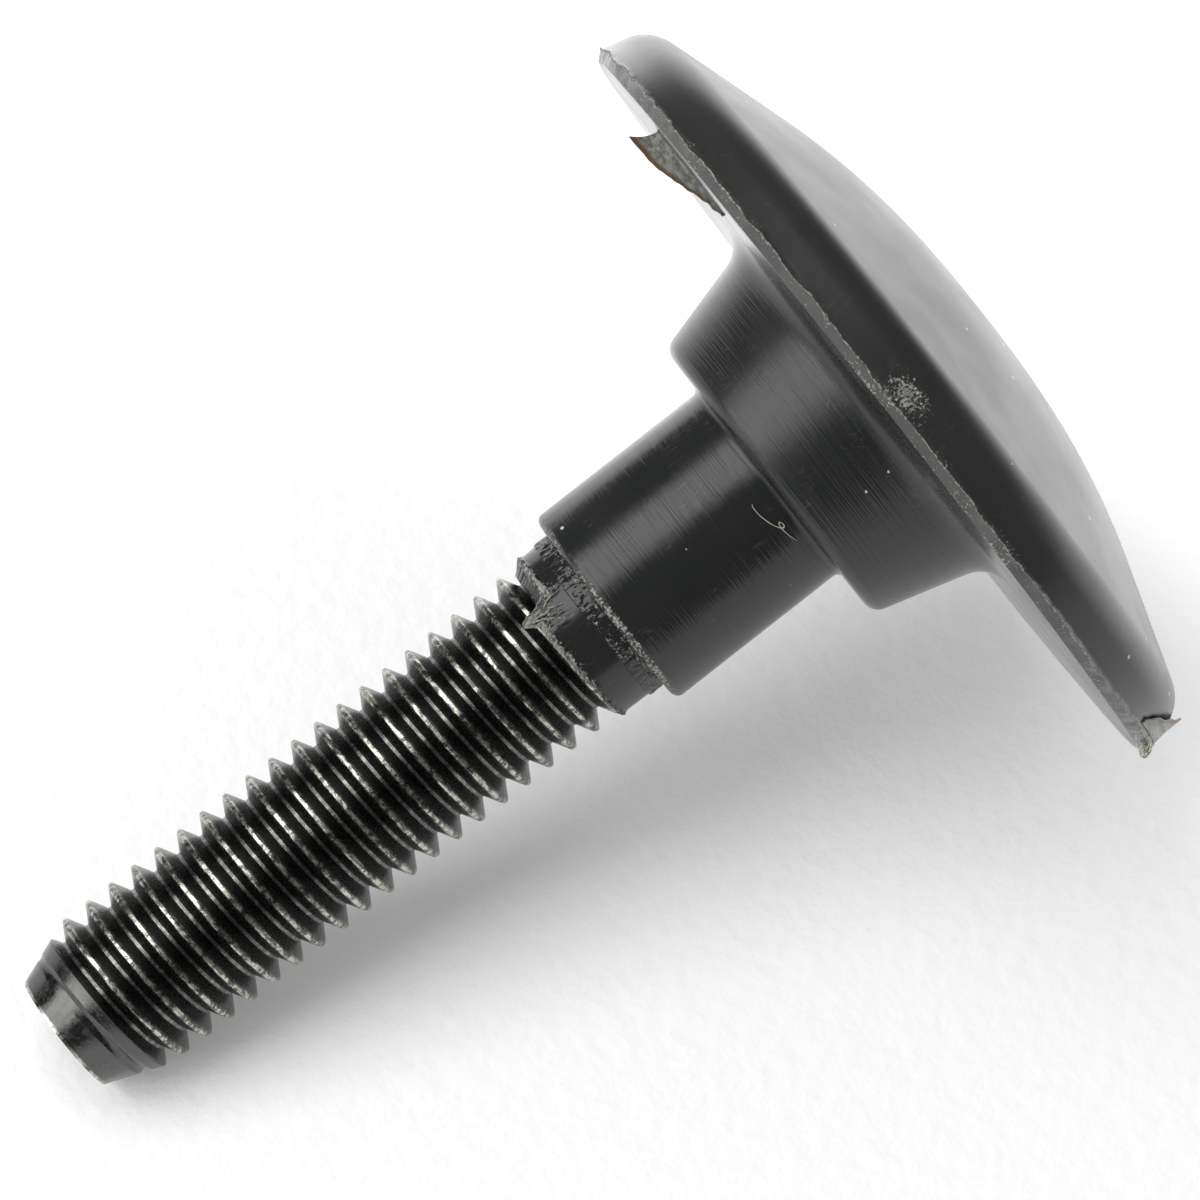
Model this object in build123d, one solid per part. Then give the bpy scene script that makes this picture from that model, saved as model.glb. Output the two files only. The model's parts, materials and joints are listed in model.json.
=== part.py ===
from build123d import *
import math
import os

# Leveling leg: a threaded steel stud with a hexagon head, moulded into a
# one-piece plastic foot. The foot stands on its domed sole at z = 0 and the
# stud points straight up, so +Z is the axis of the stud and the origin is the
# centre of the sole. All sizes are millimetres and degrees.

# --- stud ------------------------------------------------------------------
stud_diameter = 7.8            # over the crests of the rolled M8 thread
shank_diameter = 7.1           # plain part inside the moulding
stud_free_length = 27.35       # from the moulded collar to the tip
tip_face_diameter = 5.6        # flat end of the stud
tip_cone_angle = 20.5          # lead-in cone, measured from the axis
tip_edge_round = 0.15          # soft edge of the flat end
head_across_flats = 13.0       # hexagon head buried in the foot
head_height = 5.3

# --- sole and flange of the foot -------------------------------------------
rim_diameter = 38.1            # widest part, on the parting line
flange_height = 6.25           # sole centre to the flat rear face
sole_flat_diameter = 4.0       # flat centre that the leg stands on
sole_dome_radius = 33.0        # arc from the flat centre to the cone
sole_cone_angle = 17.9         # slope of the outer sole
rim_draft_angle = 15.0         # lean of the rim wall below the parting line
sole_edge_radius = 2.0         # round between the sole and the rim wall
lip_height = 0.45              # parting line to the rear face
lip_inset = 0.35               # how far the lip leans in over that height
sole_wall = 2.0                # plastic below the buried head

# --- hub, neck and collars of the foot ---------------------------------------
hub_wall = 0.9                 # plastic outside the corners of the head
hub_height = 5.35              # rear face of the flange to the end of the hub
hub_draft_angle = 15.5
hub_root_radius = 1.5          # concave sweep into the flange
hub_end_round = 0.8
neck_wall = 1.02               # plastic outside the crests of the thread
neck_height = 8.9
neck_root_radius = 0.3
neck_end_round = 0.4
seal_ring_skin = 0.16          # plastic outside the crests, ring next to the neck
seal_ring_height = 0.76
collar_skin = 0.08             # plastic outside the crests, last ring
collar_height = 1.5
collar_draft_angle = 2.0
collar_chamfer = 0.3

# --- values worked out from the sizes above -----------------------------------
stud_radius = stud_diameter / 2
shank_radius = shank_diameter / 2
rim_radius = rim_diameter / 2
lip_radius = rim_radius - lip_inset
parting_z = flange_height - lip_height
head_corner_radius = head_across_flats / math.sqrt(3)
head_top_z = sole_wall + head_height
hub_end_z = flange_height + hub_height
neck_end_z = hub_end_z + neck_height
seal_ring_end_z = neck_end_z + seal_ring_height
collar_end_z = seal_ring_end_z + collar_height
tip_z = collar_end_z + stud_free_length
neck_radius = stud_radius + neck_wall
seal_ring_radius = stud_radius + seal_ring_skin
collar_radius = stud_radius + collar_skin
collar_foot_radius = collar_radius + collar_height * math.tan(math.radians(collar_draft_angle))


def hub_radius_at(z):
    """Radius of the drafted hub side, which clears the head's corners by hub_wall."""
    return head_corner_radius + hub_wall + (head_top_z - z) * math.tan(math.radians(hub_draft_angle))


def rim_corner():
    """Radius and height where the sole cone meets the drafted rim wall."""
    cone_rise = math.tan(math.radians(sole_cone_angle))
    wall_lean = math.tan(math.radians(rim_draft_angle))
    dome_end = sole_dome().position_at(1)
    foot_of_wall = rim_radius - parting_z * wall_lean
    z = (dome_end.Y + (foot_of_wall - dome_end.X) * cone_rise) / (1 - wall_lean * cone_rise)
    return foot_of_wall + z * wall_lean, z


def rim_round():
    """Round of the sole's edge, kept within the rim wall when the flange is thin."""
    wall_length = (parting_z - rim_corner()[1]) / math.cos(math.radians(rim_draft_angle))
    half_turn = math.radians(90 - rim_draft_angle - sole_cone_angle) / 2
    return min(sole_edge_radius, 0.95 * wall_length / math.tan(half_turn))


def sole_dome():
    """Arc from the edge of the flat centre to the start of the cone."""
    centre = (sole_flat_diameter / 2, sole_dome_radius)
    return CenterArc(centre, sole_dome_radius, -90, sole_cone_angle)


def round_corner(section, radius, height, size):
    """Round the corner of a half section that lies at this radius and height."""
    corner = section.vertices().sort_by_distance((radius, 0, height))[0]
    return fillet(corner, size)


def turned(section):
    """Turn a half section in the XZ plane into a solid about the Z axis."""
    return revolve(section, axis=Axis.Z)


def stud_body():
    """Plain shank, crest cylinder and lead-in cone of the stud."""
    cone_length = (stud_radius - tip_face_diameter / 2) / math.tan(math.radians(tip_cone_angle))
    outline = Polyline(
        (0, sole_wall),
        (shank_radius, sole_wall),
        (shank_radius, collar_end_z),
        (stud_radius, collar_end_z),
        (stud_radius, tip_z - cone_length),
        (tip_face_diameter / 2, tip_z),
        (0, tip_z),
        close=True,
    )
    section = make_face(Plane.XZ * outline)
    section = round_corner(section, tip_face_diameter / 2, tip_z, tip_edge_round)
    return turned(section)


def stud_head():
    """Hexagon head that keeps the stud from turning or pulling out."""
    hexagon = Plane.XY.offset(sole_wall) * RegularPolygon(head_corner_radius, 6)
    return extrude(hexagon, head_height)


def threaded_stud():
    return stud_body() + stud_head()


def foot_outline():
    """Closed half outline of the foot, filled in to the axis."""
    dome = sole_dome()
    corner_radius, corner_z = rim_corner()
    upper = Polyline(
        dome.position_at(1),
        (corner_radius, corner_z),
        (rim_radius, parting_z),
        (lip_radius, flange_height),
        (hub_radius_at(flange_height), flange_height),
        (hub_radius_at(hub_end_z), hub_end_z),
        (neck_radius, hub_end_z),
        (neck_radius, neck_end_z),
        (seal_ring_radius, neck_end_z),
        (seal_ring_radius, seal_ring_end_z),
        (collar_foot_radius, seal_ring_end_z),
        (collar_radius, collar_end_z - collar_chamfer),
        (collar_radius - collar_chamfer, collar_end_z),
        (0, collar_end_z),
        (0, 0),
        (sole_flat_diameter / 2, 0),
    )
    section = make_face(Plane.XZ * (dome + upper))
    section = round_corner(section, corner_radius, corner_z, rim_round())
    section = round_corner(section, hub_radius_at(flange_height), flange_height, hub_root_radius)
    section = round_corner(section, hub_radius_at(hub_end_z), hub_end_z, hub_end_round)
    section = round_corner(section, neck_radius, hub_end_z, neck_root_radius)
    return round_corner(section, neck_radius, neck_end_z, neck_end_round)


def moulded_foot(stud):
    """The foot is moulded round the stud, so its cavity is the stud's own shape."""
    return turned(foot_outline()) - stud


def main():
    os.makedirs("parts", exist_ok=True)
    stud = threaded_stud()
    foot = moulded_foot(stud)
    for name, shape in (("threaded_stud", stud), ("moulded_foot", foot)):
        solid = shape.solids()[0]
        export_step(solid, f"parts/{name}.step")
        size = solid.bounding_box().size
        print(name, "solids", len(shape.solids()), "volume", round(solid.volume, 1), "mm3")
        print("  size", round(size.X, 2), round(size.Y, 2), round(size.Z, 2))


main()
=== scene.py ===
import json
import math
import random

import bmesh
import bpy
from mathutils import Matrix, Vector, noise


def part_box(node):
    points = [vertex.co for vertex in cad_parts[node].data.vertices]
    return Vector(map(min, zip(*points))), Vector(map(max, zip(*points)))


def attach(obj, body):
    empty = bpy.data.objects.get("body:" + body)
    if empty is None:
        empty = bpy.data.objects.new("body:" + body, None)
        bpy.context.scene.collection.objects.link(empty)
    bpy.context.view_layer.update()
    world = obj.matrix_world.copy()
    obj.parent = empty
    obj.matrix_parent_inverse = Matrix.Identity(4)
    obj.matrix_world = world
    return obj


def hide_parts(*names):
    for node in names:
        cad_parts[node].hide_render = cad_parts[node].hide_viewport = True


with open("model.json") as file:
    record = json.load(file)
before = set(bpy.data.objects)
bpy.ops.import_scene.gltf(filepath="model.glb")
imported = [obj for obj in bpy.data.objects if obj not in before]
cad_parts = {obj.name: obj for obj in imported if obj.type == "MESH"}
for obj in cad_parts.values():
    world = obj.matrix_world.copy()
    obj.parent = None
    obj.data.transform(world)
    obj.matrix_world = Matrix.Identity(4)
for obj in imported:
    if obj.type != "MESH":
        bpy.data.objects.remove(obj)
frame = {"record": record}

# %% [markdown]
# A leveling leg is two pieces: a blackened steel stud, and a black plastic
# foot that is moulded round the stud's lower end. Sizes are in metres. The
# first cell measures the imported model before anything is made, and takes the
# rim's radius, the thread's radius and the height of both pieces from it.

MM = 0.001
FULL_TURN = 2 * math.pi
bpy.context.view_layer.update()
_, foot_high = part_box("moulded_foot")
stud_low, stud_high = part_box("threaded_stud")
rim_radius = foot_high.x
collar_end_z = foot_high.z
tip_z = stud_high.z
thread_mount = next(m for m in frame["record"]["mounts"] if m["name"] == "stud_thread")
crest_radius = thread_mount["dims"]["r_mm"] * MM
print("leg", round(tip_z / MM, 2), "mm tall, rim", round(rim_radius / MM, 2), "mm radius")

# %% [markdown]
# The foot's section is a handful of levels and radii. They could be read off
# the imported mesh, but named values are easier to follow and to change. Heights
# are measured from the sole, and the hub leans at a fixed draft angle.

# %% Name the levels and radii of the foot
sole_flat_radius = 2.0 * MM
sole_dome_radius = 33.0 * MM
sole_cone = math.radians(17.9)
rim_draft = math.radians(15.0)
rear_face_z = 6.25 * MM
parting_z = 5.8 * MM
lip_radius = rim_radius - 0.35 * MM
hub_end_z = 11.6 * MM
hub_draft = math.radians(15.5)
hub_end_radius = 7.214 * MM
hub_root_radius = hub_end_radius + (hub_end_z - rear_face_z) * math.tan(hub_draft)
neck_radius = crest_radius + 1.02 * MM
neck_end_z = 20.5 * MM
seal_ring_radius = crest_radius + 0.16 * MM
seal_ring_end_z = 21.26 * MM
collar_radius = crest_radius + 0.08 * MM
shank_radius = 3.55 * MM
head_top_z = 7.3 * MM
print("hub root radius", round(hub_root_radius / MM, 2), "mm")

# %% [markdown]
# The camera looks straight across the leg from a distance, through a long
# lens, so that round edges stay nearly flat. In this view the leg lies on
# paper. The lens axis is nearly square to the stud, with the foot leaning a
# little towards the lens, and the camera is rolled so that the stud runs from
# the lower left to the upper right. The leg itself stands on its sole.

# %% Place the camera
view_centre = Vector((0.47 * MM, 0, 20.44 * MM))
camera_distance = 301.2 * MM
stud_slope_in_view = math.radians(38.1)
foot_lean_to_lens = math.radians(1.25)

stud_down = Vector((0, math.sin(foot_lean_to_lens), -math.cos(foot_lean_to_lens)))
lens_back = Vector((0, -math.cos(foot_lean_to_lens), -math.sin(foot_lean_to_lens)))
across = Vector((1, 0, 0))
view_right = stud_down * math.cos(stud_slope_in_view) - across * math.sin(stud_slope_in_view)
view_up = stud_down * math.sin(stud_slope_in_view) + across * math.cos(stud_slope_in_view)

camera_data = bpy.data.cameras.new("camera")
camera_data.lens = 210
camera_data.sensor_width = 36
camera_data.clip_start = 0.01
camera_data.clip_end = 20
camera = bpy.data.objects.new("camera", camera_data)
camera_axes = Matrix((view_right, view_up, lens_back)).transposed().to_4x4()
camera.matrix_world = Matrix.Translation(view_centre + lens_back * camera_distance) @ camera_axes
bpy.context.scene.collection.objects.link(camera)
bpy.context.scene.camera = camera
print("camera at", [round(c, 3) for c in camera.location])

# %% [markdown]
# The sheet of white paper touches the leg in two places, at the parting line
# of the rim and at the first thread, and the lens looks down on it. From those
# two contact points and the angle that the lens makes round the stud, the
# paper's own direction follows. It is drawn only from its front, so that it
# never hides the leg in a view from below.

# %% Work out where the paper lies
lead_cone = math.radians(20.5)
tip_radius = 2.8 * MM
cone_start_z = tip_z - (crest_radius - tip_radius) / math.tan(lead_cone)
lens_round_stud = math.radians(27.6)
lie_angle = math.atan2(rim_radius - crest_radius, cone_start_z - parting_z)
away = Vector((math.sin(lens_round_stud), -math.cos(lens_round_stud), 0))
paper_normal = away * math.cos(lie_angle) - Vector((0, 0, 1)) * math.sin(lie_angle)
contact = -away * rim_radius + Vector((0, 0, parting_z))
paper_centre = contact + paper_normal * -0.05 * MM
print("the leg lies at", round(math.degrees(lie_angle), 1), "degrees to the paper")

# %% [markdown]
# A node material is a graph, and writing it out socket by socket hides what it
# does. A few small helpers keep it readable. The first adds a node and fills in
# its inputs, joining any input that is given another node's output. The rest
# add the nodes that come up most, and start an empty material.

# %% Helpers for node graphs
def add_node(tree, kind, settings=None, **inputs):
    """Add a node, set its properties, and fill its inputs with values or links."""
    node = tree.nodes.new(kind)
    for key, value in (settings or {}).items():
        setattr(node, key, value)
    for key, value in inputs.items():
        name = key.replace("_", " ")
        socket = node.inputs[int(name[1:])] if name[0] == "i" and name[1:].isdigit() else node.inputs[name]
        if isinstance(value, bpy.types.NodeSocket):
            tree.links.new(value, socket)
        else:
            socket.default_value = value
    return node


def maths(tree, operation, *values):
    """One Math node; values are numbers or sockets."""
    inputs = {f"i{k}": value for k, value in enumerate(values)}
    return add_node(tree, "ShaderNodeMath", {"operation": operation}, **inputs).outputs[0]


def ramp(tree, value, low, high, low_out=0.0, high_out=1.0):
    """A smooth step from low_out to high_out as value goes from low to high."""
    settings = {"interpolation_type": "SMOOTHSTEP"}
    node = add_node(tree, "ShaderNodeMapRange", settings, Value=value, From_Min=low, From_Max=high,
                    To_Min=low_out, To_Max=high_out)
    return node.outputs["Result"]


def mix_colour(tree, factor, first, second):
    """Blend from the first colour to the second as factor goes from 0 to 1."""
    return add_node(tree, "ShaderNodeMix", {"data_type": "RGBA"}, Factor=factor, i6=first,
                    i7=second).outputs[2]


def cloudy(tree, place, scale, detail, roughness=0.5):
    """Soft noise between 0 and 1 at a place."""
    return add_node(tree, "ShaderNodeTexNoise", None, Vector=place, Scale=scale, Detail=detail,
                    Roughness=roughness).outputs[0]


def new_material(name):
    """A material with only an output node, and its tree."""
    material = bpy.data.materials.new(name)
    material.use_nodes = True
    tree = material.node_tree
    tree.nodes.clear()
    return material, tree, tree.nodes.new("ShaderNodeOutputMaterial")


print("node helpers ready")

# %% [markdown]
# The paper is matt white with a slight tooth and a faint even glow. Beyond the
# sole it carries a painted glow, an emission patch that stands in for light and
# clips to white. The sole mirrors that painted glow at a grazing angle as a
# painted reflection, so it is stronger in gloss. Light Path also lets camera rays
# that meet the paper's back go straight through.

# %% Lay the paper
def paper_material():
    material, tree, output = new_material("white_paper")
    place = tree.nodes.new("ShaderNodeTexCoord").outputs["Object"]
    tooth = cloudy(tree, place, 1100.0, 3.0)
    bump = add_node(tree, "ShaderNodeBump", None, Height=tooth, Strength=0.4, Distance=0.0002)
    sheet = add_node(tree, "ShaderNodeBsdfDiffuse", None, Color=(0.86, 0.86, 0.865, 1),
                     Normal=bump.outputs[0])
    split = add_node(tree, "ShaderNodeSeparateXYZ", None, Vector=place).outputs
    # Painted glow: past the sole the paper emits light, more for gloss rays, standing in for light on the
    # paper and in the sole's reflection.
    slanted = maths(tree, "MULTIPLY_ADD", split[2], -1.2, split[0])
    past_sole = ramp(tree, split[2], 0.035, -0.015)
    painted_glow_patch = maths(tree, "MULTIPLY", past_sole, ramp(tree, slanted, -0.042, 0.002))
    gloss_ray = tree.nodes.new("ShaderNodeLightPath").outputs["Is Glossy Ray"]
    painted_glow_gloss_boost = maths(tree, "MULTIPLY_ADD", gloss_ray, 0.85, 0.6)
    strength = maths(tree, "MULTIPLY_ADD", painted_glow_patch, painted_glow_gloss_boost, 0.13)
    glow = add_node(tree, "ShaderNodeEmission", None, Color=(1, 1, 1, 1), Strength=strength)
    lit = add_node(tree, "ShaderNodeAddShader", None, i0=sheet.outputs[0], i1=glow.outputs[0])
    clear = tree.nodes.new("ShaderNodeBsdfTransparent")
    back = tree.nodes.new("ShaderNodeNewGeometry").outputs["Backfacing"]
    camera_ray = tree.nodes.new("ShaderNodeLightPath").outputs["Is Camera Ray"]
    hidden = maths(tree, "MULTIPLY", back, camera_ray)
    mixed = add_node(tree, "ShaderNodeMixShader", None, Fac=hidden, i1=lit.outputs[0], i2=clear.outputs[0])
    tree.links.new(mixed.outputs[0], output.inputs["Surface"])
    return material


def flat_stage(name, centre, normal, size, material):
    """A square stage plane that faces along normal."""
    mesh_builder = bmesh.new()
    bmesh.ops.create_grid(mesh_builder, x_segments=1, y_segments=1, size=size / 2)
    turn = normal.to_track_quat("Z", "Y").to_matrix().to_4x4()
    bmesh.ops.transform(mesh_builder, matrix=Matrix.Translation(centre) @ turn, verts=mesh_builder.verts)
    mesh = bpy.data.meshes.new(name)
    mesh_builder.to_mesh(mesh)
    mesh_builder.free()
    mesh.materials.append(material)
    sheet = bpy.data.objects.new(name, mesh)
    bpy.context.scene.collection.objects.link(sheet)


flat_stage("paper_floor", paper_centre, paper_normal, size=1.6, material=paper_material())
print("paper faces", [round(c, 2) for c in paper_normal])

# %% [markdown]
# Gloss on black plastic is nothing but what it mirrors, so the studio matters
# as much as the material. One long softbox hangs over the paper, a little past
# the upright and shifted towards the stud's tip, and draws the bright strip
# along the neck. The rest of the room is white to the lens, dark in gloss and
# dim as plain light, so everything that faces the lens stays black.

# %% Light the studio
middle_of_leg = Vector((0, 0, 25 * MM))
ambient_light = 0.42
gloss_light = 0.12


def direction_round_stud(degrees, lean):
    """A direction turned from the lens towards +X, then leaned towards the stud's tip."""
    turn = math.radians(degrees)
    return Vector((math.sin(turn), -math.cos(turn), lean)).normalized()


def soft_lamp(name, towards, distance, width, length, watts):
    """A rectangular softbox whose long side runs along the stud."""
    data = bpy.data.lights.new(name, "AREA")
    data.shape = "RECTANGLE"
    data.size = width
    data.size_y = length
    data.energy = watts
    lamp = bpy.data.objects.new(name, data)
    side = Vector((0, 0, 1)).cross(towards).normalized()
    axes = Matrix((side, towards.cross(side), towards)).transposed().to_4x4()
    lamp.matrix_world = Matrix.Translation(middle_of_leg + towards * distance) @ axes
    bpy.context.scene.collection.objects.link(lamp)
    return lamp


softbox = soft_lamp("softbox", direction_round_stud(40, lean=0.34), distance=0.45, width=0.36,
                    length=0.8, watts=2.75)

world = bpy.data.worlds.new("studio")
world.use_nodes = True
bpy.context.scene.world = world
sky = world.node_tree
sky.nodes.clear()
rays = sky.nodes.new("ShaderNodeLightPath")
dim = maths(sky, "MULTIPLY_ADD", rays.outputs["Is Glossy Ray"], gloss_light - ambient_light, ambient_light)
level = maths(sky, "MAXIMUM", dim, rays.outputs["Is Camera Ray"])
background = add_node(sky, "ShaderNodeBackground", None, Color=(1, 1, 1, 1), Strength=level)
world_output = sky.nodes.new("ShaderNodeOutputWorld")
sky.links.new(background.outputs[0], world_output.inputs["Surface"])
bpy.context.scene.view_settings.view_transform = "Standard"
print("studio lit by", softbox.name)

# %% [markdown]
# Both pieces are turned shapes, and a turned shape starts as a half section: a
# chain of points, each a radius and a height. These helpers draw its arcs,
# straight stretches and rounded corners.

# %% Helpers for half sections
def arc_points(centre, radius, start, end, steps):
    """Points on an arc in the half section, from one angle to another, both included."""
    points = []
    for k in range(steps + 1):
        angle = start + (end - start) * k / steps
        points.append((centre[0] + radius * math.cos(angle), centre[1] + radius * math.sin(angle)))
    return points


def line_points(start, end, spacing):
    """Points along a straight line, the last one left out."""
    count = max(1, round(math.dist(start, end) / spacing))
    return [(start[0] + (end[0] - start[0]) * k / count, start[1] + (end[1] - start[1]) * k / count)
            for k in range(count)]


def rounded_corner(before, corner, after, radius, steps):
    """The arc that rounds a corner of the half section."""
    incoming = (Vector(before) - Vector(corner)).normalized()
    outgoing = (Vector(after) - Vector(corner)).normalized()
    half = incoming.angle(outgoing) / 2
    centre = Vector(corner) + (incoming + outgoing).normalized() * radius / math.sin(half)
    first = Vector(corner) + incoming * radius / math.tan(half) - centre
    last = Vector(corner) + outgoing * radius / math.tan(half) - centre
    start = math.atan2(first.y, first.x)
    sweep = (math.atan2(last.y, last.x) - start + math.pi) % FULL_TURN - math.pi
    return arc_points(centre, radius, start, start + sweep, steps)


print("section helpers ready")

# %% [markdown]
# A half section is spun through part of a turn, and that part is repeated until
# the skin closes, which is much quicker than one long spin. An edge stays crisp
# where its two faces meet at a clear angle, and everything else is smoothed.

# %% Helpers for turned skins
weld_distance = 0.0015 * MM


def spun_skin(builder, points, turns_in_step, steps, copies, climb=0.0):
    """Spin a section through part of a turn, then add turned or raised copies of that part."""
    bmesh.ops.spin(builder, geom=section_wire(builder, points), cent=(0, 0, 0), axis=(0, 0, 1),
                   dvec=(0, 0, climb / steps), angle=FULL_TURN * turns_in_step, steps=steps,
                   use_merge=False, use_duplicate=False)
    first = builder.verts[:] + builder.edges[:] + builder.faces[:]
    for k in range(1, copies):
        made = bmesh.ops.duplicate(builder, geom=first)["geom"]
        moved = [v for v in made if isinstance(v, bmesh.types.BMVert)]
        turn = Matrix.Rotation(FULL_TURN * turns_in_step * k, 4, "Z")
        bmesh.ops.transform(builder, matrix=Matrix.Translation((0, 0, climb * k)) @ turn, verts=moved)
    bmesh.ops.remove_doubles(builder, verts=builder.verts, dist=weld_distance)


def section_wire(builder, points):
    """The half section as vertices and edges in the XZ plane."""
    verts = [builder.verts.new((r, 0, z)) for r, z in points]
    edges = [builder.edges.new(pair) for pair in zip(verts, verts[1:])]
    return verts + edges


def crisp_edges(builder, degrees):
    """Smooth every face, and keep the edges whose faces meet at more than this angle."""
    for face in builder.faces:
        face.smooth = True
    limit = math.radians(degrees)
    for edge in builder.edges:
        edge.smooth = not (edge.is_manifold and edge.calc_face_angle() > limit)


def as_piece(builder, name, material, slot_name, *nodes):
    """Turn a finished bmesh into a piece of the leg that rides on the root body."""
    mesh = bpy.data.meshes.new(name)
    builder.to_mesh(mesh)
    builder.free()
    mesh.materials.append(material)
    piece = bpy.data.objects.new(name, mesh)
    bpy.context.scene.collection.objects.link(piece)
    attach(piece, "root")
    if nodes:
        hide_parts(*nodes)
    print(name, "has", len(mesh.polygons), "faces")


def around(point):
    """Angle of a point round the stud, from 0 to a full turn."""
    return math.atan2(point.y, point.x) % FULL_TURN


def set_radius(vert, radius):
    """Move a vertex straight out or in to this radius."""
    scale = radius / math.hypot(vert.co.x, vert.co.y)
    vert.co.x *= scale
    vert.co.y *= scale


print("turning helpers ready")

# %% [markdown]
# Surface effects that would crowd a material are kept in node groups, and each
# group is built once. Round coordinates are used by every finish on the leg:
# they give the distance from the stud's axis and the position round it, which
# most marks on a turned part follow.

# %% Node group: round coordinates
def new_group(name, inputs, outputs):
    """An empty shader node group with named float or vector sockets."""
    group = bpy.data.node_groups.new(name, "ShaderNodeTree")
    for label, kind, default in inputs:
        socket = group.interface.new_socket(label, in_out="INPUT", socket_type=kind)
        socket.default_value = default
    for label, kind in outputs:
        group.interface.new_socket(label, in_out="OUTPUT", socket_type=kind)
    return group, group.nodes.new("NodeGroupInput").outputs, group.nodes.new("NodeGroupOutput").inputs


def build_round_coordinates():
    outputs = [("Radius", "NodeSocketFloat"), ("Height", "NodeSocketFloat"), ("Turn", "NodeSocketFloat"),
               ("Along", "NodeSocketVector"), ("Place", "NodeSocketVector")]
    group, _, result = new_group("round_coordinates", [], outputs)
    place = group.nodes.new("ShaderNodeTexCoord").outputs["Object"]
    millimetres = add_node(group, "ShaderNodeVectorMath", {"operation": "SCALE"}, i0=place, Scale=1 / MM)
    split = add_node(group, "ShaderNodeSeparateXYZ", None, Vector=millimetres.outputs[0]).outputs
    squares = maths(group, "ADD", maths(group, "MULTIPLY", split[0], split[0]),
                    maths(group, "MULTIPLY", split[1], split[1]))
    radius = maths(group, "SQRT", squares)
    turn = maths(group, "ARCTAN2", split[1], split[0])
    along = add_node(group, "ShaderNodeCombineXYZ", None, X=radius, Y=turn, Z=split[2])
    for label, socket in (("Radius", radius), ("Height", split[2]), ("Turn", turn),
                          ("Along", along.outputs[0]), ("Place", millimetres.outputs[0])):
        group.links.new(socket, result[label])
    return group


def use_group(tree, group, **inputs):
    """Place a node group and return its outputs."""
    return add_node(tree, "ShaderNodeGroup", {"node_tree": group}, **inputs).outputs


round_coordinates = build_round_coordinates()
print("group", round_coordinates.name)

# %% [markdown]
# Tool marks are the fine rings that turning leaves, on the mould and on the
# stud, and they show in the gloss. They are noise that is stretched a long way
# round the axis and kept short along it.

# %% Node group: tool marks
def build_tool_marks():
    inputs = [("Spacing", "NodeSocketFloat", 0.2), ("Round Stretch", "NodeSocketFloat", 1.0)]
    group, given, result = new_group("tool_marks", inputs, [("Height", "NodeSocketFloat")])
    along = use_group(group, round_coordinates)
    rate = maths(group, "DIVIDE", 1.0, given["Spacing"])
    rings = maths(group, "MULTIPLY", along["Height"], rate)
    outward = maths(group, "MULTIPLY", along["Radius"], rate)
    sweep = maths(group, "MULTIPLY", along["Turn"], given["Round Stretch"])
    spot = add_node(group, "ShaderNodeCombineXYZ", None, X=sweep, Y=outward, Z=rings).outputs[0]
    group.links.new(cloudy(group, spot, 1.0, 2.0, 0.6), result["Height"])
    return group


tool_marks = build_tool_marks()
print("group", tool_marks.name)

# %% [markdown]
# Handling leaves thin straight scratches and loose pale specks. Scratches are
# the thin edges of stretched, slanted noise, and specks are the centres of the
# few cells of a Voronoi pattern whose random value is high.

# %% Node groups: scratches and specks
def build_scratches():
    inputs = [("Scale", "NodeSocketFloat", 0.5), ("Slant", "NodeSocketFloat", 0.6),
              ("Amount", "NodeSocketFloat", 0.5)]
    group, given, result = new_group("scratches", inputs, [("Mask", "NodeSocketFloat")])
    place = use_group(group, round_coordinates)["Place"]
    tilt = add_node(group, "ShaderNodeCombineXYZ", None, X=given["Slant"], Y=0.4, Z=given["Slant"])
    turned_place = add_node(group, "ShaderNodeMapping", None, Vector=place, Rotation=tilt.outputs[0],
                            Scale=(5.0, 5.0, 0.35)).outputs[0]
    veins = cloudy(group, turned_place, given["Scale"], 1.0)
    distance = maths(group, "ABSOLUTE", maths(group, "SUBTRACT", veins, 0.5))
    line = ramp(group, distance, 0.0, 0.012, 1.0, 0.0)
    patch = cloudy(group, place, 0.45, 1.0)
    where = ramp(group, patch, 0.52, 0.62)
    mask = maths(group, "MULTIPLY", maths(group, "MULTIPLY", line, where), given["Amount"])
    group.links.new(mask, result["Mask"])
    return group


def build_specks():
    inputs = [("Scale", "NodeSocketFloat", 1.0), ("Share", "NodeSocketFloat", 0.1),
              ("Size", "NodeSocketFloat", 0.1)]
    group, given, result = new_group("specks", inputs, [("Mask", "NodeSocketFloat")])
    place = use_group(group, round_coordinates)["Place"]
    wobble = add_node(group, "ShaderNodeTexNoise", None, Vector=place, Scale=9.0, Detail=2.0)
    moved = add_node(group, "ShaderNodeVectorMath", {"operation": "MULTIPLY_ADD"}, i0=wobble.outputs[1],
                     i1=(0.12, 0.12, 0.12), i2=place).outputs[0]
    cells = add_node(group, "ShaderNodeTexVoronoi", None, Vector=moved, Scale=given["Scale"])
    chance = add_node(group, "ShaderNodeSeparateColor", None, Color=cells.outputs["Color"]).outputs[0]
    limit = maths(group, "SUBTRACT", 1.0, given["Share"])
    chosen = maths(group, "GREATER_THAN", chance, limit)
    near = maths(group, "LESS_THAN", cells.outputs["Distance"], given["Size"])
    group.links.new(maths(group, "MULTIPLY", chosen, near), result["Mask"])
    return group


scratches = build_scratches()
specks = build_specks()
print("groups", scratches.name, specks.name)
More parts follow.
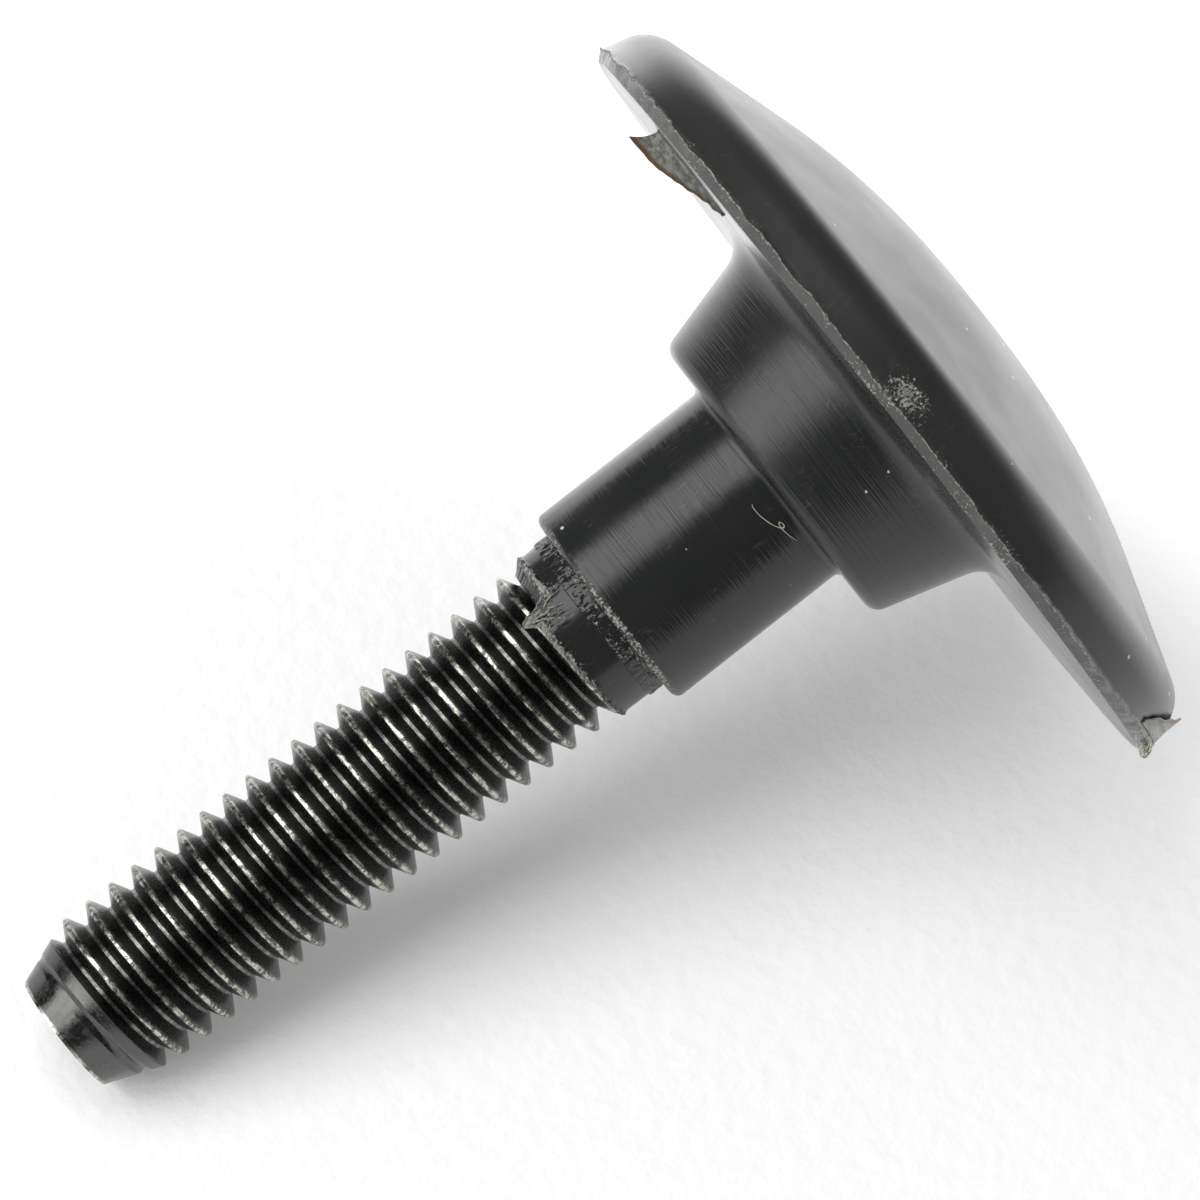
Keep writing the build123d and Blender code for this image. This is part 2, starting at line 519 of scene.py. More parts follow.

# %% [markdown]
# The stud is blackened steel: nearly black, but a metal, so it mirrors the
# softbox in thin bright lines along every flank. Its crests are rubbed through
# to bare steel in broken patches, which a mask by radius and noise picks out.
# Thin broken lines along the roots get the same pale steel colour as a painted
# highlight, standing in for the glints of the rounded roots.

# %% Material: blackened steel
def blackened_steel():
    material, tree, output = new_material("blackened_steel")
    spot = use_group(tree, round_coordinates)
    crest = ramp(tree, spot["Radius"], 3.70, 3.86)
    patch = cloudy(tree, spot["Place"], 2.4, 6.0, 0.75)
    rubbed = maths(tree, "MULTIPLY", crest, ramp(tree, patch, 0.44, 0.56))
    grain = cloudy(tree, spot["Place"], 7.0, 4.0, 0.7)
    fleck = maths(tree, "MULTIPLY", ramp(tree, grain, 0.66, 0.74), ramp(tree, spot["Radius"], 3.2, 3.7))
    # Painted highlight: pale steel colour in broken lines along the thread's roots.
    root = maths(tree, "MULTIPLY", ramp(tree, spot["Radius"], 3.18, 3.12), ramp(tree, patch, 0.46, 0.62))
    root = maths(tree, "MULTIPLY", root, ramp(tree, spot["Height"], 48.2, 47.6))
    bare_steel_and_root_glint = maths(tree, "MAXIMUM", rubbed, maths(tree, "MULTIPLY", fleck, 0.25))
    bare_steel_and_root_glint = maths(tree, "MAXIMUM", bare_steel_and_root_glint, maths(tree, "MULTIPLY", root, 0.35))
    tip_edge = maths(tree, "MULTIPLY", ramp(tree, spot["Height"], 49.93, 50.04),
                     ramp(tree, spot["Radius"], 2.6, 2.7))
    bare_steel_and_root_glint = maths(tree, "MAXIMUM", bare_steel_and_root_glint, maths(tree, "MULTIPLY", tip_edge, ramp(tree, patch, 0.40, 0.55)))
    black = mix_colour(tree, grain, (0.055, 0.057, 0.06, 1), (0.145, 0.143, 0.135, 1))
    colour = mix_colour(tree, bare_steel_and_root_glint, black, (0.56, 0.54, 0.47, 1))
    on_tip = ramp(tree, spot["Height"], 47.9, 48.5)
    sideways = add_node(tree, "ShaderNodeCombineXYZ", None, X=spot["Turn"], Y=0.0,
                        Z=maths(tree, "MULTIPLY", spot["Height"], 0.12)).outputs[0]
    smears = cloudy(tree, sideways, 9.0, 4.0)
    tip_gloss = maths(tree, "MULTIPLY", on_tip, ramp(tree, smears, 0.35, 0.6, 0.02, -0.14))
    roughness = maths(tree, "ADD", ramp(tree, grain, 0.3, 0.75, 0.2, 0.42), tip_gloss)
    rings = use_group(tree, tool_marks, Spacing=0.06, Round_Stretch=2.0)["Height"]
    relief = maths(tree, "ADD", maths(tree, "MULTIPLY", grain, 0.7), maths(tree, "MULTIPLY", rings, 0.5))
    bump = add_node(tree, "ShaderNodeBump", None, Height=relief, Strength=0.22, Distance=0.00004)
    steel = add_node(tree, "ShaderNodeBsdfPrincipled", None, Base_Color=colour, Metallic=1.0,
                     Roughness=roughness, Normal=bump.outputs[0])
    tree.links.new(steel.outputs[0], output.inputs["Surface"])
    return material


steel_finish = blackened_steel()
print("material", steel_finish.name)

# %% [markdown]
# The foot is black plastic with a satin gloss. Its mould was turned on a
# lathe, so the neck and hub carry rings. The parting line, the gate scar and
# the edges of the collars are scuffed pale: the mesh says how scuffed each
# point is, and noise breaks the edge of every scuff into flecks. The sole has
# worn duller than the neck.

# %% Material: black moulded plastic
def band(tree, value, low, high, soft):
    """A mask that is 1 between low and high, with soft ends."""
    return maths(tree, "MULTIPLY", ramp(tree, value, low - soft, low + soft),
                 ramp(tree, value, high - soft, high + soft, 1.0, 0.0))


def scuffed_places(tree, spot):
    """Mask of the pale scuffs that the mesh marks on each point, and the noise that breaks them."""
    rough = cloudy(tree, spot["Place"], 7.5, 6.0, 0.7)
    marked = add_node(tree, "ShaderNodeAttribute", {"attribute_name": "scuff"}).outputs["Fac"]
    limit = maths(tree, "MULTIPLY_ADD", marked, -0.36, 0.72)
    flecks = ramp(tree, maths(tree, "SUBTRACT", rough, limit), -0.04, 0.06)
    return maths(tree, "MULTIPLY", flecks, ramp(tree, marked, 0.0, 0.25)), rough


def black_plastic():
    material, tree, output = new_material("black_plastic")
    spot = use_group(tree, round_coordinates)
    scuffs, rough = scuffed_places(tree, spot)
    dust = use_group(tree, specks, Scale=0.75, Share=0.13, Size=0.075)["Mask"]
    lines = use_group(tree, scratches, Scale=0.6, Slant=0.7, Amount=0.25)["Mask"]
    cloud = cloudy(tree, spot["Place"], 0.3, 3.0)
    black = mix_colour(tree, cloud, (0.010, 0.0112, 0.0108, 1), (0.019, 0.0205, 0.0196, 1))
    scuff_shade = ramp(tree, rough, 0.4, 0.7)
    scuff_tone = mix_colour(tree, scuff_shade, (0.13, 0.128, 0.112, 1), (0.40, 0.39, 0.35, 1))
    # Paler colour: a little on the sole and rim wall, a painted sheen on the lip above the parting line
    # and a painted highlight at the hub's root.
    paling_and_sheen_mark = add_node(tree, "ShaderNodeAttribute", {"attribute_name": "paling_and_painted_sheen"}).outputs["Fac"]
    paling_and_sheen_share = maths(tree, "MULTIPLY", paling_and_sheen_mark, 0.25)
    base = mix_colour(tree, paling_and_sheen_share, black, (0.088, 0.094, 0.085, 1))
    pale = mix_colour(tree, scuffs, base, scuff_tone)
    dusty = mix_colour(tree, dust, pale, (0.5, 0.5, 0.47, 1))
    colour = mix_colour(tree, lines, dusty, (0.12, 0.12, 0.115, 1))
    turned_part = band(tree, spot["Height"], 6.9, 20.4, 0.3)
    rings = use_group(tree, tool_marks, Spacing=0.08, Round_Stretch=1.1)["Height"]
    fine = cloudy(tree, spot["Place"], 3.0, 5.0)
    relief = maths(tree, "MULTIPLY", rings, maths(tree, "MULTIPLY", turned_part, 2.6))
    relief = maths(tree, "ADD", relief, maths(tree, "MULTIPLY", fine, 0.25))
    torn = maths(tree, "MULTIPLY", rough, scuffs)
    relief = maths(tree, "ADD", relief, maths(tree, "MULTIPLY", torn, 6.0))
    bump = add_node(tree, "ShaderNodeBump", None, Height=relief, Strength=0.5, Distance=0.00003)
    gloss = ramp(tree, cloud, 0.3, 0.7, 0.15, 0.20)
    hub = ramp(tree, spot["Height"], 11.7, 11.2, 0.0, 0.08)
    dull = ramp(tree, spot["Height"], 6.0, 3.6, 0.0, 0.12)
    worn = maths(tree, "ADD", maths(tree, "ADD", hub, dull), maths(tree, "MULTIPLY", scuffs, 0.35))
    roughness = maths(tree, "ADD", gloss, worn)
    plastic = add_node(tree, "ShaderNodeBsdfPrincipled", None, Base_Color=colour, Roughness=roughness,
                       Normal=bump.outputs[0])
    tree.links.new(plastic.outputs[0], output.inputs["Surface"])
    return material


plastic_finish = black_plastic()
print("material", plastic_finish.name)

# %% [markdown]
# The thread is a rolled right-hand V thread. A screw modifier could sweep it,
# but the spin operator does the same when each step also climbs: the section
# is one pitch long, so after a full turn its lower end meets the upper end of
# the turn before, and stacked copies merge into one skin.

# %% Draw the thread's section
pitch = 1.25 * MM
root_radius = 3.10 * MM
crest_height_at_start = 20.86 * MM


def thread_section():
    """One pitch of the thread, from root to root."""
    half_crest = 0.085 * MM
    half_root = 0.075 * MM
    flank_steps = 7
    flank_end = pitch / 2 - half_root
    points = [(root_radius, -pitch / 2), (root_radius, -flank_end)]
    for k in range(1, flank_steps):
        share = k / flank_steps
        points.append((root_radius + (crest_radius - root_radius) * share,
                       -flank_end + (flank_end - half_crest) * share))
    points += [(crest_radius - 0.012 * MM, -half_crest), (crest_radius, -half_crest * 0.4)]
    return points + [(r, -z) for r, z in reversed(points)]


print("thread section has", len(thread_section()), "points")

# %% [markdown]
# After the sweep, worn crests get small dents, every point outside the lead-in
# cone is moved onto that cone, and the last groove runs out into it. Both ends
# are then cut square. The top is closed, and the bottom grows a plain shank and
# the hexagon head that the moulding grips.

# %% Sweep the thread and close the stud
steps_round = 96
crest_dent_size = 0.45 * MM
crest_dent_depth_in_mm = 0.05
run_out_z = 47.7 * MM
run_out_length = 1.3 * MM
last_groove_depth = 0.04 * MM


def finished_radius(point):
    """Radius of a thread point after wear, the lead-in cone and the run-out."""
    radius = math.hypot(point.x, point.y)
    near_crest = max(0.0, (radius - root_radius) / (crest_radius - root_radius) - 0.8) * 5
    dent = noise.fractal(point / crest_dent_size, 0.8, 2.0, 3)
    radius -= near_crest * max(0.0, dent) * crest_dent_depth_in_mm * MM
    cone = tip_radius + (tip_z - point.z) * math.tan(lead_cone)
    run_out = min(1.0, max(0.0, (point.z - run_out_z) / run_out_length))
    radius = min(radius, cone)
    return radius + run_out * max(0.0, cone - last_groove_depth - radius)


def cut_square(builder, z, keep_above):
    """Cut the skin at height z and drop one side; the cut's edges are returned."""
    geometry = builder.verts[:] + builder.edges[:] + builder.faces[:]
    cut = bmesh.ops.bisect_plane(builder, geom=geometry, plane_co=(0, 0, z), plane_no=(0, 0, 1),
                                 clear_inner=keep_above, clear_outer=not keep_above)
    return [e for e in cut["geom_cut"] if isinstance(e, bmesh.types.BMEdge)]


def grown_down(builder, edges, radius, z):
    """Extrude a ring of edges to a plain ring of this radius at height z."""
    made = bmesh.ops.extrude_edge_only(builder, edges=edges)["geom"]
    for vert in [v for v in made if isinstance(v, bmesh.types.BMVert)]:
        set_radius(vert, radius)
        vert.co.z = z
    return [e for e in made if isinstance(e, bmesh.types.BMEdge)]


def hexagon_head(builder, low_z, high_z, across_corners):
    """The closed hexagon head at the buried end of the stud."""
    made = bmesh.ops.create_cone(builder, cap_ends=True, segments=6, radius1=across_corners / 2,
                                 radius2=across_corners / 2, depth=high_z - low_z)
    place = Matrix.Translation((0, 0, (low_z + high_z) / 2))
    bmesh.ops.transform(builder, matrix=place, verts=made["verts"])


def build_stud():
    builder = bmesh.new()
    turns = math.ceil((tip_z - crest_height_at_start) / pitch) + 2
    start = crest_height_at_start - pitch
    points = [(r, start + z) for r, z in thread_section()]
    spun_skin(builder, points, 1, steps_round, turns, climb=pitch)
    for vert in builder.verts:
        set_radius(vert, finished_radius(vert.co))
    top = cut_square(builder, tip_z, keep_above=False)
    bmesh.ops.holes_fill(builder, edges=top)
    bottom = cut_square(builder, seal_ring_end_z, keep_above=True)
    ring = grown_down(builder, bottom, shank_radius, seal_ring_end_z - 0.3 * MM)
    ring = grown_down(builder, ring, shank_radius, head_top_z)
    bmesh.ops.holes_fill(builder, edges=ring)
    hexagon_head(builder, stud_low.z, head_top_z, stud_high.x * 2)
    bmesh.ops.recalc_face_normals(builder, faces=builder.faces)
    crisp_edges(builder, 38)
    as_piece(builder, "black_steel_stud", steel_finish, "stud_steel", "threaded_stud")


build_stud()

# %% [markdown]
# The foot's half section runs from the centre of the sole, over the rim, up
# the hub and neck to the last collar, and back down the bore to the buried
# head. Straight stretches carry extra points where the surface gets relief
# later, and rounded corners are true arcs.

# %% Draw the foot's section
parting = (rim_radius, parting_z)
below_parting = (rim_radius - 0.012 * MM, parting_z - 0.05 * MM)
above_parting = (rim_radius - 0.03 * MM, parting_z + 0.05 * MM)
hub_root = (hub_root_radius, rear_face_z)
hub_end = (hub_end_radius, hub_end_z)
neck_foot = (neck_radius, hub_end_z)


def rim_corner():
    """Where the sole's cone meets the leaning rim wall."""
    dome_end = (sole_flat_radius + sole_dome_radius * math.sin(sole_cone),
                sole_dome_radius * (1 - math.cos(sole_cone)))
    foot_of_wall = rim_radius - parting_z * math.tan(rim_draft)
    rise, lean = math.tan(sole_cone), math.tan(rim_draft)
    z = (dome_end[1] + (foot_of_wall - dome_end[0]) * rise) / (1 - lean * rise)
    return dome_end, (foot_of_wall + z * lean, z)


def flange_section():
    """From the centre of the sole, over the rim and the lip, to the sweep at the hub's root."""
    dome_end, corner = rim_corner()
    dome = arc_points((sole_flat_radius, sole_dome_radius), sole_dome_radius, -math.pi / 2,
                      -math.pi / 2 + sole_cone, 14)
    points = [(0, 0)] + dome[:-1]
    edge = rounded_corner(dome_end, corner, parting, 2.0 * MM, 12)
    points += line_points(dome_end, edge[0], 1.2 * MM) + edge
    points += line_points(edge[-1], below_parting, 0.15 * MM)[1:]
    points += [below_parting, parting, above_parting]
    points += rounded_corner(above_parting, (lip_radius, rear_face_z), hub_root, 0.12 * MM, 4)
    sweep = rounded_corner((lip_radius, rear_face_z), hub_root, hub_end, 1.5 * MM, 12)
    return points + line_points(points[-1], sweep[0], 1.6 * MM)[1:] + sweep


def hub_and_neck_section(start):
    """From the hub's root to the end of the neck."""
    neck_end = (neck_radius, neck_end_z)
    hub_round = rounded_corner(hub_root, hub_end, neck_foot, 0.8 * MM, 8)
    small_sweep = rounded_corner(hub_end, neck_foot, neck_end, 0.3 * MM, 5)
    neck_round = rounded_corner(neck_foot, neck_end, (seal_ring_radius, neck_end_z), 0.4 * MM, 6)
    points = line_points(start, hub_round[0], 0.8 * MM)[1:] + hub_round + small_sweep
    return points + line_points(points[-1], neck_round[0], 1.2 * MM)[1:] + neck_round


def collar_section():
    """From the neck over the seal ring and the last collar, and down the bore to the head."""
    ring_end = (seal_ring_radius, seal_ring_end_z)
    collar_foot = (collar_radius + 0.02 * MM, seal_ring_end_z + 0.03 * MM)
    collar_top = (collar_radius, collar_end_z - 0.06 * MM)
    points = line_points((seal_ring_radius, neck_end_z), ring_end, 0.08 * MM) + [ring_end, collar_foot]
    points += line_points(collar_foot, collar_top, 0.08 * MM)[1:]
    return points + [collar_top, (collar_radius - 0.05 * MM, collar_end_z),
                     (shank_radius, collar_end_z - 0.1 * MM), (shank_radius, head_top_z), (0, head_top_z)]


def foot_section():
    flange = flange_section()
    return flange + hub_and_neck_section(flange[-1]) + collar_section()


print("foot section has", len(foot_section()), "points")

# %% [markdown]
# Spinning the section gives a perfect foot, and a real moulding isn't one. The
# last collar ends along the thread, so its edge climbs one pitch in a turn,
# drops back at a step, and is drawn out into a torn tongue there. The gate left
# a rough scar on the rim wall, just below the parting line. Each of these moves
# the spun points by a fraction of a millimetre, and says how scuffed they are.

# %% Tear the collar and dent the gate
tongue_degrees = 293
tongue_turn = math.radians(tongue_degrees)
collar_step_turn = math.radians(297)
near_side_turn = math.radians(272)
gate_turn = math.radians(268)
gate_z = 5.2 * MM


def bump_at(value, centre, width):
    """A smooth bump that is 1 at the centre and fades over the width."""
    return math.exp(-((value - centre) / width) ** 2)


def ragged(vert, size):
    """Repeatable rough noise at a point, for features of this size."""
    return noise.fractal(vert.co / size, 0.7, 2.1, 4)


def collar_edge_z(turn):
    """Height of the last collar's edge: it follows the thread, with one step and a tongue."""
    past_step = (turn - collar_step_turn) % FULL_TURN - FULL_TURN
    climb = crest_height_at_start + pitch * (1 + (collar_step_turn + past_step) / FULL_TURN)
    return climb + 0.5 * MM * bump_at(turn, tongue_turn, math.radians(4))


def tear_collar(vert, turn):
    """Stretch the last collar to its torn edge and thicken its lip; returns the scuffing."""
    share = (vert.co.z - seal_ring_end_z) / (collar_end_z - seal_ring_end_z)
    edge = collar_edge_z(turn) + 0.07 * MM * ragged(vert, 0.5 * MM)
    lip = bump_at(share, 1.0, 0.12)
    web = bump_at(turn, tongue_turn, math.radians(11)) * share
    vert.co.z = seal_ring_end_z + share * (edge - seal_ring_end_z)
    if share < 1.01 and math.hypot(vert.co.x, vert.co.y) > shank_radius * 1.05:
        swell = lip * (0.09 + 0.12 * ragged(vert, 0.35 * MM)) + web * 0.14 * ragged(vert, 0.3 * MM)
        set_radius(vert, math.hypot(vert.co.x, vert.co.y) + swell * MM)
    near_side = 0.55 + 0.5 * bump_at(turn, near_side_turn, math.radians(34))
    return min(1.0, lip * near_side + web * 0.75 + 0.15 * share)


def dent_gate(vert, turn):
    """Sink and roughen the gate scar; returns the scuffing."""
    along_rim = (turn - gate_turn) * rim_radius
    share = bump_at(along_rim, 0, 1.15 * MM) * bump_at(vert.co.z, gate_z, 0.65 * MM)
    dent = 0.02 + 0.22 * ragged(vert, 0.4 * MM)
    set_radius(vert, math.hypot(vert.co.x, vert.co.y) - share * dent * MM)
    return min(1.0, share * 0.8)


print("the collar's edge is", round(collar_edge_z(tongue_turn) / MM, 2), "mm up at the tongue")

# %% [markdown]
# The rest of the roughening goes zone by zone. The parting line has a thin,
# ragged flash, and the seal ring, the end of the neck and the lip are lightly
# scuffed. The material reads two values from each point: how scuffed it is, and
# how much paler its colour is made. The sole and the rim wall are made a little
# paler. The lip above the parting line is made paler still, a painted sheen that
# stands in for its grazing reflection, and one patch at the hub's root carries a
# painted highlight.

# %% Roughen and build the foot
foot_steps = 640
spun_parts = 8
# Where the painted highlight sits at the hub's root.
hub_glint_turn = math.radians(238)
hub_glint_radius = 9.9 * MM


def paling_and_sheen_at(vert, turn, radius):
    """How much paler the plastic is made at a point: a little on the sole, a painted sheen on the lip, a
    painted highlight at the hub's root.
    """
    z = vert.co.z
    if z < parting_z - 0.05 * MM:
        return 0.55
    # Painted sheen on the lip above the parting line.
    if z < rear_face_z - 0.02 * MM:
        return 1.6 + 0.6 * ragged(vert, 2 * MM)
    # Painted highlight: one paler patch at the hub's root.
    if z < hub_end_z - 4 * MM:
        patch = bump_at(turn, hub_glint_turn, math.radians(13))
        patch *= bump_at(radius, hub_glint_radius, 0.9 * MM)
        return 3.0 * patch * max(0.0, 0.6 + ragged(vert, 1.2 * MM))
    return 0.0


def roughen_wall(vert, turn):
    """Dent the gate and raise the flash on the rim wall; returns the scuffing."""
    z = vert.co.z
    scuffed = dent_gate(vert, turn)
    if abs(z - parting_z) < 0.01 * MM:
        flash = max(0.0, 0.5 + ragged(vert, 0.8 * MM))
        set_radius(vert, math.hypot(vert.co.x, vert.co.y) + 0.10 * MM * flash)
        vert.co.z += 0.12 * MM * ragged(vert, 1.3 * MM)
        return 0.95
    if z > parting_z - 0.1 * MM:
        vert.co.z += 0.10 * MM * ragged(vert, 1.3 * MM)
        return 0.25 + 0.3 * ragged(vert, 0.9 * MM)
    if z > parting_z - 0.3 * MM:
        return max(scuffed, 0.1 + 0.4 * ragged(vert, 1.1 * MM))
    return scuffed


def roughen(vert, turn, radius):
    """Move one point of the foot's skin by its zone's roughness; returns the scuffing."""
    z = vert.co.z
    if z > seal_ring_end_z:
        return tear_collar(vert, turn)
    if z > neck_end_z - 0.01 * MM and radius < seal_ring_radius * 1.01:
        set_radius(vert, radius + 0.05 * MM * ragged(vert, 0.3 * MM))
        groove = bump_at(z, seal_ring_end_z, 0.06 * MM) + bump_at(z, neck_end_z + 0.12 * MM, 0.05 * MM)
        return 0.25 + 0.3 * ragged(vert, 0.9 * MM) + 0.35 * groove
    if z > neck_end_z - 0.35 * MM:
        scuffed = 0.5 + 0.35 * ragged(vert, 1.5 * MM)
        set_radius(vert, radius + 0.015 * MM * ragged(vert, 0.3 * MM))
        return scuffed
    if lip_radius - 2 * MM < radius and z < parting_z + 0.2 * MM:
        return roughen_wall(vert, turn)
    if abs(radius - lip_radius) < 0.15 * MM:
        scuffed = 0.3 + 0.3 * ragged(vert, 1.7 * MM)
        set_radius(vert, radius + 0.03 * MM * ragged(vert, 0.7 * MM))
        return scuffed
    return 0.0


def roughen_foot(builder):
    scuff = builder.verts.layers.float.new("scuff")
    # How much paler each point is made: partly plain paling, partly painted sheen and painted highlight.
    paling_and_painted_sheen = builder.verts.layers.float.new("paling_and_painted_sheen")
    for vert in builder.verts:
        turn = around(vert.co)
        radius = math.hypot(vert.co.x, vert.co.y)
        if radius >= shank_radius * 1.02:
            vert[paling_and_painted_sheen] = paling_and_sheen_at(vert, turn, radius)
            vert[scuff] = roughen(vert, turn, radius)


def build_foot():
    builder = bmesh.new()
    spun_skin(builder, foot_section(), 1 / spun_parts, foot_steps // spun_parts, spun_parts)
    bmesh.ops.recalc_face_normals(builder, faces=builder.faces)
    roughen_foot(builder)
    crisp_edges(builder, 32)
    as_piece(builder, "black_plastic_foot", plastic_finish, "foot_plastic", "moulded_foot")


build_foot()

# %% [markdown]
# Where the mould halves leaked or the part was trimmed, thin films of plastic
# are left. A film is a small sheet: a grid of points is laid along a path,
# ruffled with noise and given a thickness. An edge value, from 0 at the root to
# 1 at the free edge, tells the material where the film has turned brown. A
# string of plastic is a thin tube: a ring of points is set across the path at
# every step, and the rings are bridged.

# %% Helpers for films and strings
def film(builder, path, rise, steps, rows, thickness):
    """A thin sheet: path(u) gives its root, and rise(u, v) the offset towards its free edge."""
    made = bmesh.ops.create_grid(builder, x_segments=steps, y_segments=rows, size=0.5)["verts"]
    edge = builder.verts.layers.float["film_edge"]
    faces = list({face for vert in made for face in vert.link_faces})
    for vert in made:
        u = vert.co.x + 0.5
        v = vert.co.y + 0.5
        vert.co = path(u) + rise(u, v)
        vert[edge] = v
    bmesh.ops.recalc_face_normals(builder, faces=faces)
    bmesh.ops.solidify(builder, geom=faces, thickness=thickness)


def fibre(builder, path, steps, radius):
    """A closed thin tube of uneven thickness along path(u)."""
    loops = []
    for k in range(steps + 1):
        u = k / steps
        ahead = (path(u + 0.01) - path(u - 0.01)).normalized()
        taper = 0.35 + 0.65 * math.sin(math.pi * (0.04 + 0.92 * u)) ** 0.5
        taper *= 0.75 + 0.7 * abs(noise.noise(path(u) / (0.3 * MM)))
        place = Matrix.Translation(path(u)) @ ahead.to_track_quat("Z", "X").to_matrix().to_4x4()
        ring = bmesh.ops.create_circle(builder, segments=6, radius=radius * taper, matrix=place)["verts"]
        loops.append(list({edge for vert in ring for edge in vert.link_edges}))
    for first, second in zip(loops, loops[1:]):
        bmesh.ops.bridge_loops(builder, edges=first + second)
    bmesh.ops.holes_fill(builder, edges=loops[0] + loops[-1])


def polar(radius, degrees, z):
    """A point in millimetres from its radius, its angle round the stud and its height."""
    turn = math.radians(degrees)
    return Vector((radius * math.cos(turn), radius * math.sin(turn), z)) * MM


def blend(values, u):
    """Read a list of values as a smooth curve from u = 0 to u = 1."""
    place = min(max(u, 0.0), 1.0) * (len(values) - 1)
    k = min(int(place), len(values) - 2)
    share = place - k
    share = share * share * (3 - 2 * share)
    return values[k] * (1 - share) + values[k + 1] * share


print("film helpers ready")

# %% [markdown]
# Torn plastic is thin enough to look grey instead of black. Its streaks follow
# the turn of the part, and its free edge has browned. The loose fibres are
# paler still, with a slight yellow cast.

# %% Materials: torn plastic and pale fibre
def torn_plastic():
    material, tree, output = new_material("torn_plastic")
    spot = use_group(tree, round_coordinates)
    edge = add_node(tree, "ShaderNodeAttribute", {"attribute_name": "film_edge"}).outputs["Fac"]
    streak = cloudy(tree, spot["Along"], 6.0, 5.0, 0.7)
    grey = mix_colour(tree, ramp(tree, streak, 0.35, 0.65), (0.11, 0.11, 0.10, 1), (0.32, 0.32, 0.29, 1))
    brown_where = ramp(tree, maths(tree, "MULTIPLY_ADD", streak, 0.3, edge), 0.9, 1.08)
    brown = mix_colour(tree, brown_where, grey, (0.13, 0.078, 0.042, 1))
    bump = add_node(tree, "ShaderNodeBump", None, Height=streak, Strength=0.6, Distance=0.00006)
    plastic = add_node(tree, "ShaderNodeBsdfPrincipled", None, Base_Color=brown, Roughness=0.42,
                       Normal=bump.outputs[0])
    tree.links.new(plastic.outputs[0], output.inputs["Surface"])
    return material


def pale_fibre():
    material, tree, output = new_material("pale_fibre")
    spot = use_group(tree, round_coordinates)
    shade = cloudy(tree, spot["Place"], 4.0, 3.0)
    pale = mix_colour(tree, shade, (0.30, 0.28, 0.20, 1), (0.62, 0.61, 0.54, 1))
    plastic = add_node(tree, "ShaderNodeBsdfPrincipled", None, Base_Color=pale, Roughness=0.5)
    tree.links.new(plastic.outputs[0], output.inputs["Surface"])
    return material


film_finish = torn_plastic()
fibre_finish = pale_fibre()
print("materials", film_finish.name, fibre_finish.name)

# %% [markdown]
# A curled flake stands on the rear face near the rim. It is tallest at its
# outer end, where its tip curls over, and sinks into the face at the other. A
# bent flap hangs from just below the parting line, down over the rim wall.

# %% Shape the flake and the flap
flap_start_degrees = 168
flap_sweep_degrees = 34


def add_flake(builder):
    def root(u):
        return Vector((14.5 - 4.6 * u, -6.4 - 3.2 * u + 0.12 * math.sin(9 * u), 6.22)) * MM

    def rise(u, v):
        height = blend([1.02, 1.06, 0.98, 0.80, 0.62, 0.40, 0.24, 0.12], u)
        height += 0.05 * noise.noise(Vector((u * 14, 0, 3)))
        ripple = 0.035 * math.sin(70 * u + 2 * v) * v
        curl = 0.30 * v * v * (1 - 0.6 * u)
        tip = 0.55 * bump_at(u, 0.0, 0.06) * v ** 2
        return Vector((tip, -ripple - curl, height * v + tip * 0.1)) * MM

    film(builder, root, rise, steps=90, rows=8, thickness=0.06 * MM)


def add_flap(builder):
    def root(u):
        return polar(19.06, flap_start_degrees + flap_sweep_degrees * u, 5.55)

    def rise(u, v):
        hang = blend([0.25, 0.9, 1.4, 1.6, 1.5, 1.2, 0.8, 0.3], u)
        lift = blend([0.05, 0.15, 0.28, 0.34, 0.34, 0.28, 0.18, 0.05], u)
        turn = math.radians(flap_start_degrees + flap_sweep_degrees * u)
        out = Vector((math.cos(turn), math.sin(turn), 0))
        ruffle = 0.06 * noise.noise(Vector((u * 9, v * 3, 7)))
        return (out * (lift * v ** 1.5 + ruffle * v - 0.28 * hang * v) + Vector((0, 0, -hang * v))) * MM

    film(builder, root, rise, steps=60, rows=8, thickness=0.07 * MM)


print("flake and flap drawn")

# %% [markdown]
# One long string of torn plastic follows the last collar's edge. Five short
# ones run from the tip of its tongue back over the collar, and each is given by
# the angle and height where it ends, and by how far it bows.

# %% Make the flake, the flap and the strings
tongue_tip = 23.55
web_ends = [(303, 22.0, 0.3), (299, 21.5, -0.1), (290, 21.7, -0.2), (281, 22.0, -0.4), (296, 22.4, 0.1)]


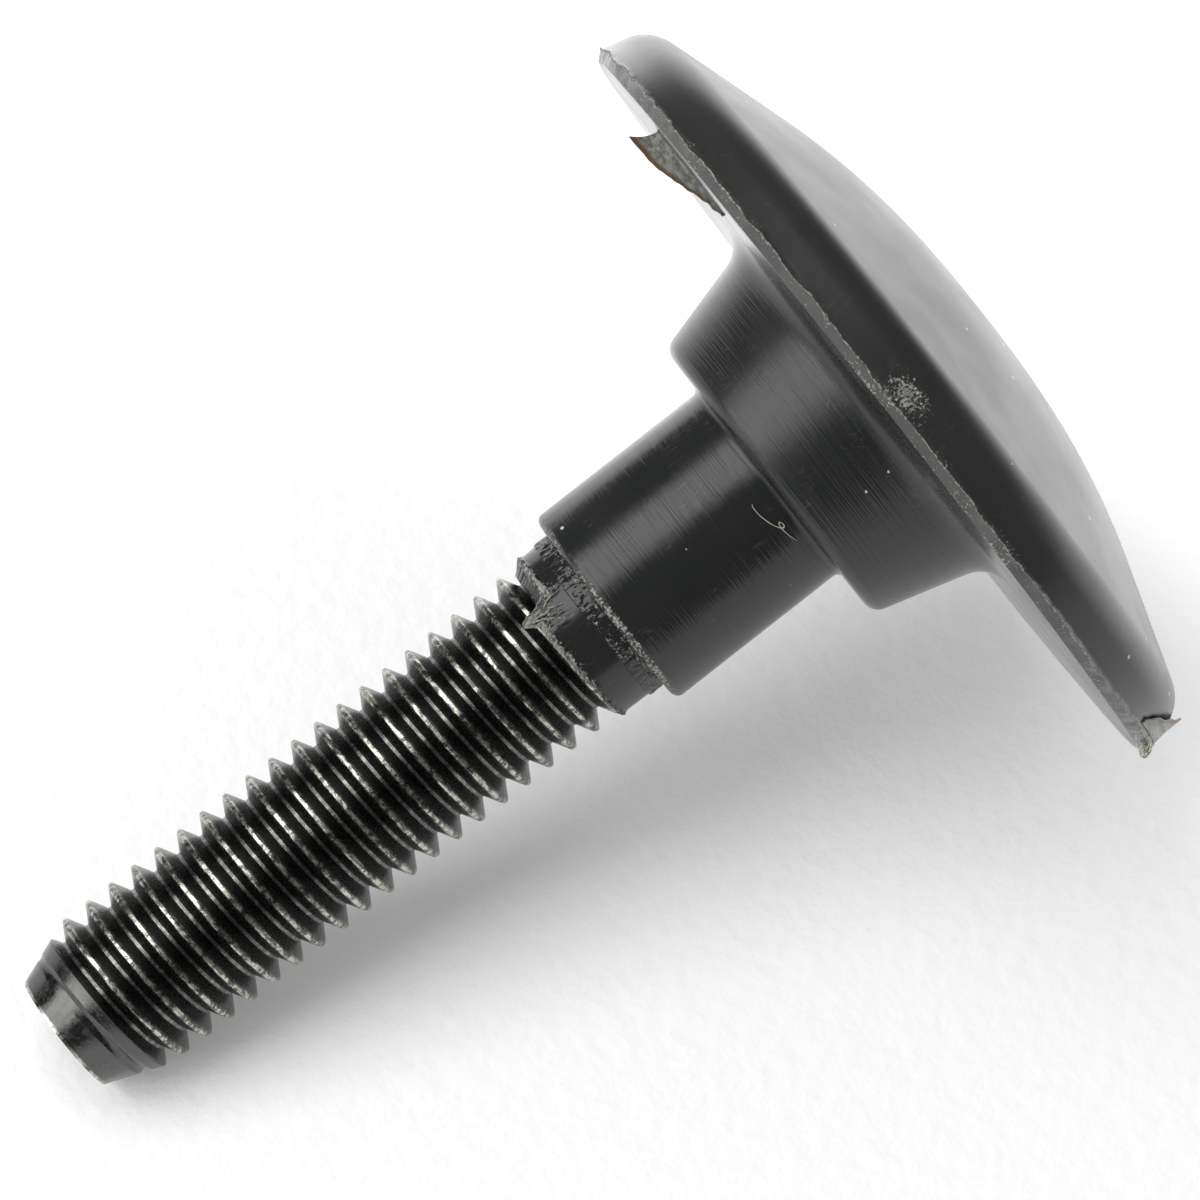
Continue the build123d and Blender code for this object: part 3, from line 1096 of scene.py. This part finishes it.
def add_edge_string(builder):
    def path(u):
        degrees = 236 + 60 * u
        wander = noise.noise(Vector((u * 30, 1, 2)))
        edge = collar_edge_z(math.radians(degrees)) / MM
        return polar(4.0 + 0.05 * wander, degrees, edge + 0.05 * wander)

    fibre(builder, path, steps=150, radius=0.055 * MM)


def add_web_string(builder, end_degrees, end_z, bow):
    def path(u):
        degrees = tongue_degrees + (end_degrees - tongue_degrees) * max(0.0, u) ** 1.3
        wander = 0.05 * noise.noise(Vector((u * 8, end_z, 5)))
        height = tongue_tip + (end_z - tongue_tip) * u + bow * u * (1 - u)
        return polar(4.02 + wander, degrees + wander * 20, height)

    fibre(builder, path, steps=30, radius=0.05 * MM)


def build_films():
    builder = bmesh.new()
    builder.verts.layers.float.new("film_edge")
    add_flake(builder)
    add_flap(builder)
    add_edge_string(builder)
    for end_degrees, end_z, bow in web_ends:
        add_web_string(builder, end_degrees, end_z, bow)
    crisp_edges(builder, 40)
    as_piece(builder, "torn_flakes", film_finish, "foot_plastic")


build_films()

# %% [markdown]
# Pale fibres are left along the parting line, just above the flap, and one
# curly lint fibre sits on the neck beside the hub.

# %% Make the fibres
def build_fibres():
    builder = bmesh.new()
    dice = random.Random(4)
    for _ in range(11):
        start = 183 + 11 * dice.random()
        height = 5.75 + 0.45 * dice.random()
        reach = 2.0 + 5.0 * dice.random()
        bulge = 0.10 + 0.30 * dice.random()
        thickness = 0.022 + 0.035 * dice.random()

        def torn_path(u, start=start, height=height, reach=reach, bulge=bulge):
            radius = 18.98 + bulge * math.sin(math.pi * u)
            return polar(radius, start + reach * u, height + 0.2 * math.sin(5 * u + start))

        fibre(builder, torn_path, steps=16, radius=thickness * MM)

    def lint_path(u):
        degrees = 262 - 22 * u + 5 * math.sin(9 * u + 1)
        return polar(neck_radius / MM + 0.05, degrees, 12.75 - 0.6 * u + 0.17 * math.sin(9 * u))

    fibre(builder, lint_path, steps=70, radius=0.026 * MM)
    bmesh.ops.recalc_face_normals(builder, faces=builder.faces)
    crisp_edges(builder, 60)
    as_piece(builder, "pale_fibres", fibre_finish, "foot_plastic")


build_fibres()
